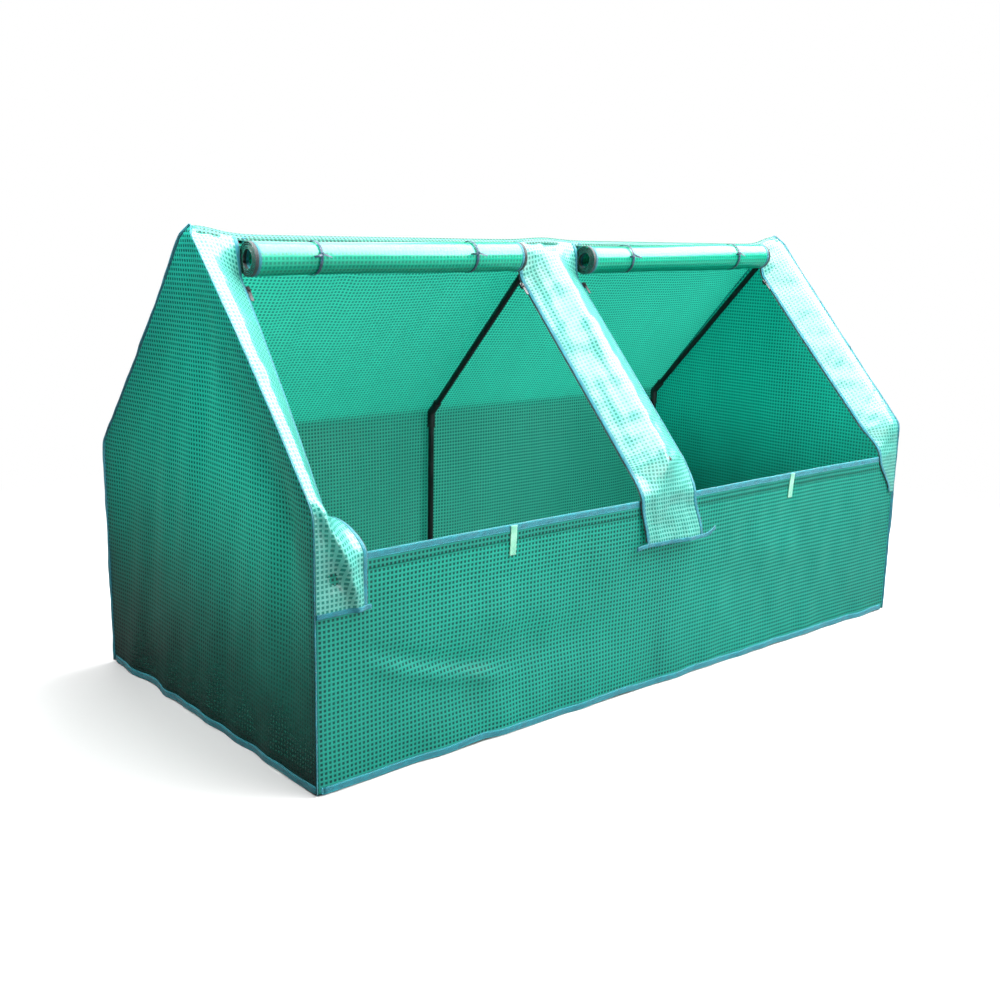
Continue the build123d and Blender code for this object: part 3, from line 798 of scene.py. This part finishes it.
def end_lapel(side, eave_width, panel_width, hem_width, eave_droop, fold, turn_above):
    """Surface of an end lapel. u runs from 0 at the gable seam to 1 at the free edge. turn_above is how
    far above the eave its width starts to change toward the width on the panel."""

    def surface(u, s):
        u, s = np.broadcast_arrays(np.asarray(u, float), np.asarray(s, float))
        turn_s = FRONT_EAVE_S + turn_above
        on_panel = smooth((turn_s - s) / (turn_s - PANEL_TOP))
        to_hem = smooth((PANEL_TOP - s) / (PANEL_TOP - LAPEL_LOW))
        width = END_LAPEL + (eave_width - END_LAPEL) * down_roof(s)
        width = width + (panel_width - eave_width) * on_panel + (hem_width - panel_width) * to_hem
        past_knee = np.clip((u - KNEE) / (1 - KNEE), 0, 1)
        depth = lapel_droop(s, eave_droop) * drape(past_knee)
        inner = 4 * u * (1 - u)
        crease = waves(s, u * width, 61 + side, 0.035, 0.16, 0.9)
        proud = 0.0017 * crease * inner * near_ridge(s) + 0.0014
        proud = proud + fold(u, s) + 0.0012 * on_front(s)
        return hung(side * (HALF_LENGTH - 0.0006 - width * u), s, proud, depth)

    return surface


def left_fold(u, s):
    """A soft fold that runs from the eave at the seam down to the free edge's lower end."""
    down = np.clip((FRONT_EAVE_S + 0.03 - s) / (FRONT_EAVE_S + 0.03 - LAPEL_LOW), 0, 1)
    ridge_u = 0.10 + 0.70 * down
    off = (u - ridge_u) / (0.30 - 0.12 * down)
    lift = np.where(off < 0, np.exp(-(off**2) * 7), np.exp(-(off**2) * 1.1))
    return 0.022 * np.sin(math.pi * np.clip(down * 0.92, 0, 1)) * lift * smooth((1 - u) / 0.2 + 0.25)


def right_fold(u, s):
    """A shallow fold near the eave."""
    return 0.006 * bell((s - FRONT_EAVE_S) / 0.05) * np.sin(math.pi * u)


def middle_lapel(u, s):
    """Surface of the middle lapel. u runs from -1 to 1 between its free edges."""
    u, s = np.broadcast_arrays(np.asarray(u, float), np.asarray(s, float))
    on_panel = smooth((FRONT_EAVE_S + 0.01 - s) / (FRONT_EAVE_S + 0.01 - PANEL_TOP))
    to_hem = smooth((PANEL_TOP - s) / (PANEL_TOP - LAPEL_LOW))
    half = MIDDLE_HALF - 0.005 * on_panel - 0.002 * to_hem
    centre = -0.006 * on_panel + 0.015 * to_hem
    depth = lapel_droop(s) * drape(np.abs(u))
    inner = 1 - u**4
    crease = waves(s, u * half, 71, 0.04, 0.19, 0.9)
    lengthwise = waves(u * half, s, 72, 0.03, 0.11, 0.2, 5)
    kick = 0.016 * to_hem * (0.35 + 0.65 * smooth(u + 0.4)) + 0.004 * on_front(s)
    proud = 0.0014 + (0.0017 * crease * near_ridge(s) + 0.0011 * lengthwise) * inner + kick
    return hung(centre + half * u, s, proud, depth)


def lapel_piece(name, surface, u_low, u_high, half_width):
    """A lapel's sheet over its whole length, from under the ridge strip to its lower end."""
    s = np.linspace(TOP_S + UNDER_STRIP, LAPEL_LOW, 150)[:, None]
    u = np.linspace(u_low, u_high, 41)[None, :]
    points = surface(u, s)
    uv = np.stack(np.broadcast_arrays(u * half_width, s), -1)
    if u_low == 0 and points[0, -1, 0] > 0:
        points, uv = points[:, ::-1], uv[:, ::-1]
    points, uv = points[::-1], uv[::-1]
    return sheet_piece(name, "frame", points, uv, GLARE_PALE_LAPEL_CLOTH)


def edge_band(surface, edge_u, inward):
    """A binding along one free edge of a lapel, with its outer side on the edge."""
    s = np.linspace(TOP_S + 0.008, LAPEL_LOW + 0.001, 150)
    u = np.full_like(s, edge_u)
    side, normal = side_and_normal(surface, u - inward * 0.02, s, 0.01, 0.001)
    side = side * inward
    return (surface(u, s) - side * EDGE_BAND[0], side, normal, *EDGE_BAND)


LEFT_LAPEL = end_lapel(-1, LEFT_AT_EAVE, LEFT_AT_PANEL, LEFT_AT_HEM, LEFT_EAVE_DROOP, left_fold, 0.032)
RIGHT_LAPEL = end_lapel(1, RIGHT_AT_EAVE, RIGHT_AT_PANEL, RIGHT_AT_HEM, DROOP, right_fold, 0.004)
left_piece = lapel_piece("left_lapel_sheet", LEFT_LAPEL, 0.0, 1.0, 0.11)
middle_piece = lapel_piece("middle_lapel_sheet", middle_lapel, -1.0, 1.0, 0.109)
right_piece = lapel_piece("right_lapel_sheet", RIGHT_LAPEL, 0.0, 1.0, 0.11)
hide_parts("left_lapel", "left_lapel_flap")
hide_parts("middle_lapel")
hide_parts("right_lapel")

free_edges = {
    "left_lapel_binding": (LEFT_LAPEL, [(1.0, 1)]),
    "middle_lapel_binding": (middle_lapel, [(-1.0, -1), (1.0, 1)]),
    "right_lapel_binding": (RIGHT_LAPEL, [(1.0, 1)]),
}
for name, (surface, edges) in free_edges.items():
    bands = [edge_band(surface, u, inward) for u, inward in edges]
    ribbon_piece(name, "frame", bands, BINDING)


def lower_band(surface, u_low, u_high, s, spread=0.0, droop_ends=0.0):
    """The band along a lapel's lower end, run on past its corners by spread."""
    u = np.linspace(u_low, u_high, 60)
    inside = np.clip(u, -1.0, 1.0)
    path = surface(inside, np.full_like(u, s))
    past = u - inside
    path[:, 0] += past * spread
    path[:, 1] -= 0.0008
    path[:, 2] += droop_ends * past**2 * np.where(past > 0, 1.0, -0.4)
    return (path, UPWARD, FORWARD, *LOWER_BAND)


lower = [
    lower_band(LEFT_LAPEL, 0.0, 1.08, LAPEL_LOW + 0.002, 0.1),
    lower_band(middle_lapel, -1.32, 1.42, LAPEL_LOW + 0.002, 0.1, 0.08),
]
lower_binding = ribbon_piece("lapel_lower_binding", "frame", lower, BINDING)
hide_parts("lapel_bindings")

# Zip halves: a tape under each free edge
zip_edges = {
    "left_door_zip": [(LEFT_LAPEL, 1.0, 1.0), (middle_lapel, -1.0, -1.0)],
    "right_door_zip": [(middle_lapel, 1.0, 1.0), (RIGHT_LAPEL, 1.0, -1.0)],
}
for name, edges in zip_edges.items():
    bands = []
    for surface, edge_u, toward in edges:
        s_line = np.linspace(TOP_S + 0.006, LAPEL_LOW + 0.012, 160)
        path = surface(np.full_like(s_line, edge_u), s_line)
        path = path - [toward * 0.0022, 0, 0]
        normal = side_and_normal(cover_point, path[:, 0], s_line, 0.001, 0.001)[1] * -1
        path = path - normal * 0.0020 * np.sign(normal[:, 2:] + 1e-9)
        bands.append((path, [toward, 0.0, 0.0], normal, *ZIP_BAND))
    tape = ribbon_piece(f"{name}_tapes", "frame", bands, ZIP_TAPE)
    hidden = ["left_lapel_flap_tape"] if name == "left_door_zip" else []
    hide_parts(f"{name}_tapes", *hidden)


# --- Doors ------------------------------------------------------------------------------------

TURNS = 5.0
CORE = 0.0175
OUTER_END = math.radians(150)


def roll_axis(door, x):
    """Centre of a rolled door at x. Each roll hangs a little out of level."""
    (x0, x1), (z0, z1) = ROLL_ENDS[door], ROLL_DIPS[door]
    share = (x - x0) / (x1 - x0)
    y = np.full_like(share, ROLL_CENTRE[1])
    return np.stack(np.broadcast_arrays(x, y, ROLL_CENTRE[2] + z0 + (z1 - z0) * share), -1)


def roll_point(door, x, turn, out=0.0):
    """The rolled door: a spiral whose radius shrinks evenly with the turn, a little slack and uneven, and
    drawn in where the ties hold it. turn 0 is the outer end, at the back of the roll."""
    x, turn = np.broadcast_arrays(np.asarray(x, float), np.asarray(turn, float))
    radius = ROLL_RADIUS - (ROLL_RADIUS - CORE) * turn / TURNS
    looseness = 0.25 + 0.75 * turn / TURNS
    radius = radius + 0.0011 * looseness * np.sin(2 * math.pi * turn * 1.03 + 3 * x)
    radius = radius + 0.0006 * np.sin(4 * math.pi * turn + 9 * x) + 0.0007 * np.sin(13 * x + turn)
    pinch = sum(bell((x - place) / 0.012) for place in tie_places(door))
    radius = radius - 0.0012 * pinch + out
    angle = OUTER_END + 2 * math.pi * turn
    along = (np.sin(angle) * radius)[..., None]
    over = (np.cos(angle) * radius)[..., None]
    return roll_axis(door, x) - along * DOWN + over * OUTWARD


def tie_places(door):
    """Where along its length a door's two ties hold it."""
    x0, x1 = ROLL_ENDS[door]
    return (x0 + TIE_INSETS[door], x1 - TIE_INSETS[door])


for side_name, (x0, x1) in ROLL_ENDS.items():
    door = f"{side_name}_door"
    x = np.linspace(x0, x1, 61)[:, None]
    turn = np.linspace(0, TURNS, 261)[None, :]
    points = roll_point(side_name, x, turn)
    length = 2 * math.pi * (ROLL_RADIUS * turn - (ROLL_RADIUS - CORE) * turn**2 / (2 * TURNS))
    uv = np.stack(np.broadcast_arrays(x, length), -1)
    roll = sheet_piece(f"{side_name}_door_sheet", door, points, uv, DOOR_CLOTH)
    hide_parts(f"{side_name}_door_roll")

    turn_line = np.linspace(0, TURNS, 260)
    for part, near, half, material, slot in (
        ("zip_tapes", 0.0, 0.0042, ZIP_TAPE, "zip_tape"),
        ("side_bindings", 0.0085, 0.0032, BINDING, "binding"),
    ):
        bands = []
        for end, inward in ((x0, 1), (x1, -1)):
            place = np.full_like(turn_line, end + inward * (near + half))
            path = roll_point(side_name, place, turn_line, 0.0004)
            ahead = np.gradient(path, axis=0)
            bands.append((path, RIGHTWARD, np.cross(ahead, RIGHTWARD), half, 0.0009))
        ribbon_piece(f"{side_name}_roll_{part}", door, bands, material)


def unrolled_rows(count):
    """Rest places t from 0 to 1 whose blend weights 3t² - 2t³ are evenly spaced."""
    t = np.linspace(0, 1, 2001)
    return np.interp(np.linspace(0, 1, count), t * t * (3 - 2 * t), t)


LEAD_INSET = 0.007
LEAD_START = STRIP_EDGE - 0.006
LEAD_END = math.sqrt((RIDGE - ROLL_CENTRE[2]) ** 2 + ROLL_CENTRE[1] ** 2) - 0.017
ridge = np.array([0, 0, RIDGE])
for side_name, roll_ends in ROLL_ENDS.items():
    x0, x1 = roll_ends[0] + LEAD_INSET, roll_ends[1] - LEAD_INSET
    share = unrolled_rows(90)
    from_ridge = LEAD_START + share * (LEAD_END - LEAD_START)
    inward = 0.0012 + 0.0285 * smooth(share)
    travelled = from_ridge + smooth(share) * TRAVEL
    start, end = ridge + DOWN * LEAD_START, ridge + DOWN * LEAD_END
    x = np.linspace(x0, x1, 61)[:, None]
    lead_line = ridge + DOWN * from_ridge[:, None] - OUTWARD * inward[:, None]
    slack = 0.0022 * waves(x, travelled[None, :], 81 + (x0 > 0), 0.06, 0.3)
    slack = slack * np.sin(math.pi * share)[None, :]
    across = np.stack([x + 0 * slack, 0 * slack, 0 * slack], -1)
    points = lead_line[None] + across + slack[..., None] * OUTWARD
    uv = np.stack(np.broadcast_arrays(x, travelled[None, :]), -1)
    points, uv = points[:, ::-1], uv[:, ::-1]
    lead = sheet_piece(f"{side_name}_door_lead", None, points, uv, WALL_CLOTH)
    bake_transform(lead)
    bands = []
    for place in (x0 + LEAD_BAND[0], x1 - LEAD_BAND[0]):
        path = lead_line + [place, 0, 0] + 0.0006 * OUTWARD
        bands.append((path, RIGHTWARD, OUTWARD, *LEAD_BAND))
    points, faces, uvs = joined([ribbon_arrays(*band) for band in bands])
    trim = add_piece(f"{side_name}_lead_bindings", None, points, faces, uvs, BINDING)
    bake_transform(trim)


# --- Ties -------------------------------------------------------------------------------------


KNOT_HALF = 0.0032
KNOT_DEPTH = 0.0026


def tie_bands(centre, seed):
    """One tie: a loop round the roll, a knot of two crossed turns on its front, and two loose tails."""
    random = np.random.default_rng(seed)
    angle = np.linspace(0, 2 * math.pi, 72)
    radial = np.cos(angle)[:, None] * OUTWARD - np.sin(angle)[:, None] * DOWN
    lean = 0.002 * np.sin(angle + 1.0)[:, None] * RIGHTWARD
    loop = (centre + radial * (ROLL_RADIUS + 0.0006) + lean, RIGHTWARD, radial, *TIE_LOOP)
    bands = [loop]
    front = unit(np.array([0.0, -1.0, 0.28]))
    below = unit(np.cross(front, RIGHTWARD))
    knot = centre + front * (ROLL_RADIUS + 0.0035)
    for tilt in (0.6, -0.7):
        turn = np.linspace(0, 2 * math.pi, 28)
        wrap_side = math.cos(tilt) * RIGHTWARD + math.sin(tilt) * below
        wrap_up = -math.sin(tilt) * RIGHTWARD + math.cos(tilt) * below
        ring = np.cos(turn)[:, None] * wrap_up * KNOT_HALF + np.sin(turn)[:, None] * front * KNOT_DEPTH
        bands.append((knot + ring, wrap_side, unit(ring), *TIE_KNOT))
    for heading in (random.uniform(0.5, 1.1), random.uniform(2.0, 2.7)):
        run = np.linspace(0, 1, 24)[:, None]
        length = random.uniform(0.022, 0.030)
        direction = math.cos(heading) * RIGHTWARD - math.sin(heading) * below
        droop = below * 0.35
        path = knot + (direction * run + droop * run**2) * length + front * (0.006 * np.sin(run * 2.6))
        twist = 0.8 * run + random.uniform(-0.4, 0.4)
        flat = unit(np.cross(direction, front))
        side = np.cos(twist) * flat + np.sin(twist) * front
        ahead = np.gradient(path, axis=0)
        bands.append((path, side, np.cross(ahead, side), *TIE_TAIL))
    return bands


for seed, side_name in enumerate(ROLL_ENDS):
    bands = []
    for step, place in enumerate(tie_places(side_name)):
        bands += tie_bands(roll_axis(side_name, np.array(place)), 90 + 4 * seed + step)
    ties = ribbon_piece(f"{side_name}_door_ties_tape", "frame", bands, TIE_TAPE)
    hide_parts(f"{side_name}_door_ties")
    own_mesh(ties)


# --- Closure tabs -----------------------------------------------------------------------------

tab_low, tab_high = corners_of("closure_tabs")
bands = []
for tab_x in (tab_low[0] + TAB_BAND[0], tab_high[0] - TAB_BAND[0]):
    z_line = np.linspace(tab_low[2], tab_high[2], 30)
    x_line = np.full_like(z_line, tab_x)
    path = np.stack([x_line, front_y(x_line, z_line) - 0.0026, z_line], -1)
    bands.append((path, RIGHTWARD, FORWARD, *TAB_BAND))
tabs = ribbon_piece("closure_tapes", "frame", bands, LOOP_TAPE)
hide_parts("closure_tabs")


# --- Finishes of the carried-over frame -------------------------------------------------------

finishes = {"frame_tube": TUBE_COAT, "connector": CONNECTOR_PLASTIC, "zip_metal": ZIP_METAL}
for entry in frame["record"]["subparts"]:
    material = finishes.get(entry["material_slot"])
    if material:
        node = frame["nodes"][entry["node"]]
        node.data.materials.clear()
        node.data.materials.append(material)


# --- Stage, light and camera ------------------------------------------------------------------

floor_mesh = bpy.data.meshes.new("floor")
reach = 12.0
floor_corners = [(-reach, -reach, 0), (reach, -reach, 0), (reach, reach, 0), (-reach, reach, 0)]
floor_mesh.from_pydata(floor_corners, [], [(0, 1, 2, 3)])
floor_mesh.materials.append(floor_paint("pale_floor"))
floor = bpy.data.objects.new("floor", floor_mesh)
bpy.context.scene.collection.objects.link(floor)


def soft_light(name, place, target, size, watts, colour=(1.0, 1.0, 1.0)):
    """A large square lamp that faces a point."""
    lamp = bpy.data.lights.new(name, "AREA")
    lamp.shape = "SQUARE"
    lamp.size = size
    lamp.energy = watts
    lamp.color = colour
    holder = bpy.data.objects.new(name, lamp)
    back = unit(np.array(place, float) - np.array(target, float))
    right = unit(np.cross(UPWARD, back))
    up = np.cross(back, right)
    matrix = np.eye(4)
    matrix[:3, 0], matrix[:3, 1], matrix[:3, 2], matrix[:3, 3] = right, up, back, place
    holder.matrix_world = Matrix(matrix.tolist())
    bpy.context.scene.collection.objects.link(holder)


soft_light("overhead_softbox", (1.6, -0.9, 3.4), (0.0, -0.2, 0.8), 4.6, 700)
soft_light("front_fill", (-0.1, -4.4, 1.4), (-0.1, 0.0, 0.3), 2.4, 100)
soft_light("behind_window", (0.8, 3.2, 2.4), (0.1, 0.2, 0.6), 2.6, 90)
soft_light("gable_light", (-1.4, 0.0, 1.75), (-0.9, 0.0, 0.95), 0.6, 34)

world = bpy.data.worlds.new("studio")
world.use_nodes = True
tree = world.node_tree
background = tree.nodes["Background"]
background.inputs["Color"].default_value = (0.97, 0.985, 1.0, 1.0)
background.inputs["Strength"].default_value = 0.08
backdrop = tree.nodes.new("ShaderNodeBackground")
backdrop.inputs["Color"].default_value = (1.0, 1.0, 1.0, 1.0)
backdrop.inputs["Strength"].default_value = 1.0
rays = tree.nodes.new("ShaderNodeLightPath")
either = tree.nodes.new("ShaderNodeMixShader")
tree.links.new(rays.outputs["Is Camera Ray"], either.inputs[0])
tree.links.new(background.outputs[0], either.inputs[1])
tree.links.new(backdrop.outputs[0], either.inputs[2])
tree.links.new(either.outputs[0], tree.nodes["World Output"].inputs["Surface"])
bpy.context.scene.world = world
bpy.context.scene.view_settings.view_transform = "Standard"

AZIMUTH, ELEVATION, TILT = (math.radians(a) for a in (40.914, 12.538, 1.218))
EYE = np.array([-1.9856, -2.1574, 1.0031])
FOCAL = 42.77
level = math.cos(ELEVATION)
ahead = np.array([math.sin(AZIMUTH) * level, math.cos(AZIMUTH) * level, -math.sin(ELEVATION)])
right = unit(np.cross(ahead, UPWARD))
up = np.cross(right, ahead)
camera_data = bpy.data.cameras.new("camera")
camera_data.lens = FOCAL
camera_data.sensor_width = 36
camera = bpy.data.objects.new("camera", camera_data)
matrix = np.eye(4)
matrix[:3, 0] = right * math.cos(TILT) + up * math.sin(TILT)
matrix[:3, 1] = -right * math.sin(TILT) + up * math.cos(TILT)
matrix[:3, 2] = -ahead
matrix[:3, 3] = EYE
camera.matrix_world = Matrix(matrix.tolist())
bpy.context.scene.collection.objects.link(camera)
bpy.context.scene.camera = camera
